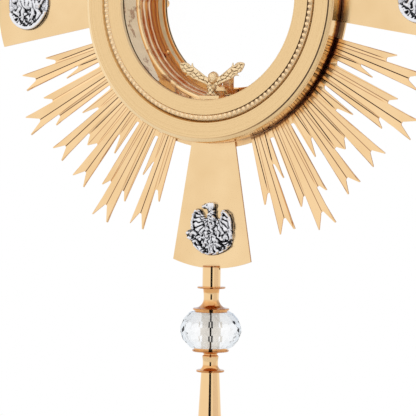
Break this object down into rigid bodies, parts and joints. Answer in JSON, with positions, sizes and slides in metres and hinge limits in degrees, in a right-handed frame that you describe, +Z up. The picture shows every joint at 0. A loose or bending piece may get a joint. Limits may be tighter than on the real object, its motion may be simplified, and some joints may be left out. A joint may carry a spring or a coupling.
{
  "type": "monstrance",
  "caption": "Gilt sunburst monstrance: round glazed host case with hinged rear door, cross arms with silver reliefs, pleated rays, crystal knop, round foot.",
  "frame": {"origin": "centre of the foot's underside, on the surface it stands on", "axes": "+Z up along the stem, -Y out of the host case's open front, +X to the right seen from the front"},
  "size_m": [0.4002, 0.1766, 0.7201],
  "materials": {
    "satin_gilt_brass": "satin gold plate with fine turning lines",
    "polished_gilt_brass": "mirror-polished gold plate",
    "engraved_gilt_brass": "engraved gold plate with dark lines",
    "oxidised_silver": "silver plate, oxidised in the recesses",
    "clear_crystal": "cut and polished",
    "clear_glass": "thin flat pane",
    "bright_steel": "plain turned",
    "foot_plate_brass": "dull unplated",
    "green_felt": "felt"
  },
  "bodies": {
    "stand": {"arm_bottom": "satin_gilt_brass", "arm_left": "satin_gilt_brass", "arm_right": "satin_gilt_brass", "arm_top": "satin_gilt_brass", "bead_ring": "satin_gilt_brass", "bezel_ring": "satin_gilt_brass", "carrier_ring": "satin_gilt_brass", "carrier_screws": "polished_gilt_brass", "chamber_moulding": "polished_gilt_brass", "chamber_tube": "polished_gilt_brass", "cherub_base": "polished_gilt_brass", "cherub_head": "engraved_gilt_brass", "cherub_wing_left": "engraved_gilt_brass", "cherub_wing_right": "engraved_gilt_brass", "crystal_knop": "clear_crystal", "foot": "satin_gilt_brass", "foot_bead_ring": "satin_gilt_brass", "foot_felt": "green_felt", "foot_plate": "foot_plate_brass", "front_glass": "clear_glass", "hinge_bracket": "polished_gilt_brass", "hinge_pin": "polished_gilt_brass", "knop_lower_cup": "polished_gilt_brass", "knop_sleeve": "bright_steel", "knop_upper_cup": "polished_gilt_brass", "latch_boss": "polished_gilt_brass", "latch_screw": "polished_gilt_brass", "lip_screws": "polished_gilt_brass", "lower_collar": "polished_gilt_brass", "lower_stem": "satin_gilt_brass", "lunette_rail": "polished_gilt_brass", "medallion_angel": "oxidised_silver", "medallion_eagle": "oxidised_silver", "medallion_lion": "oxidised_silver", "medallion_ox": "oxidised_silver", "medallion_rivets": "polished_gilt_brass", "rail_block": "polished_gilt_brass", "rays_lower_left": "satin_gilt_brass", "rays_lower_right": "satin_gilt_brass", "rays_upper_left": "satin_gilt_brass", "rays_upper_right": "satin_gilt_brass", "stem_socket": "polished_gilt_brass", "support_bar": "satin_gilt_brass", "tie_nut": "bright_steel", "tie_rod": "bright_steel", "tie_washer": "bright_steel", "upper_collar": "polished_gilt_brass", "upper_disc": "polished_gilt_brass"},
    "rear_door": {"door_frame": "polished_gilt_brass", "door_glass": "clear_glass", "door_glass_ring": "polished_gilt_brass", "door_knuckle": "polished_gilt_brass", "door_knob": "polished_gilt_brass"},
    "latch": {"latch_button": "polished_gilt_brass"},
    "host_clamp": {"clamp_block": "polished_gilt_brass", "clamp_tab": "polished_gilt_brass"}
  },
  "joints": [
    {"name": "rear_door_hinge", "type": "hinge", "parent": "stand", "child": "rear_door", "pos_m": [0.082, 0.0334, 0.52], "axis": [0, 0, -1], "range_deg": [0, 110]},
    {"name": "latch_turn", "type": "hinge", "parent": "stand", "child": "latch", "pos_m": [-0.0825, 0.0358, 0.534], "axis": [0, 1, 0], "range_deg": [0, 90]},
    {"name": "clamp_slide", "type": "slide", "parent": "stand", "child": "host_clamp", "axis": [0, -1, 0], "range_m": [0, 0.008]}
  ]
}
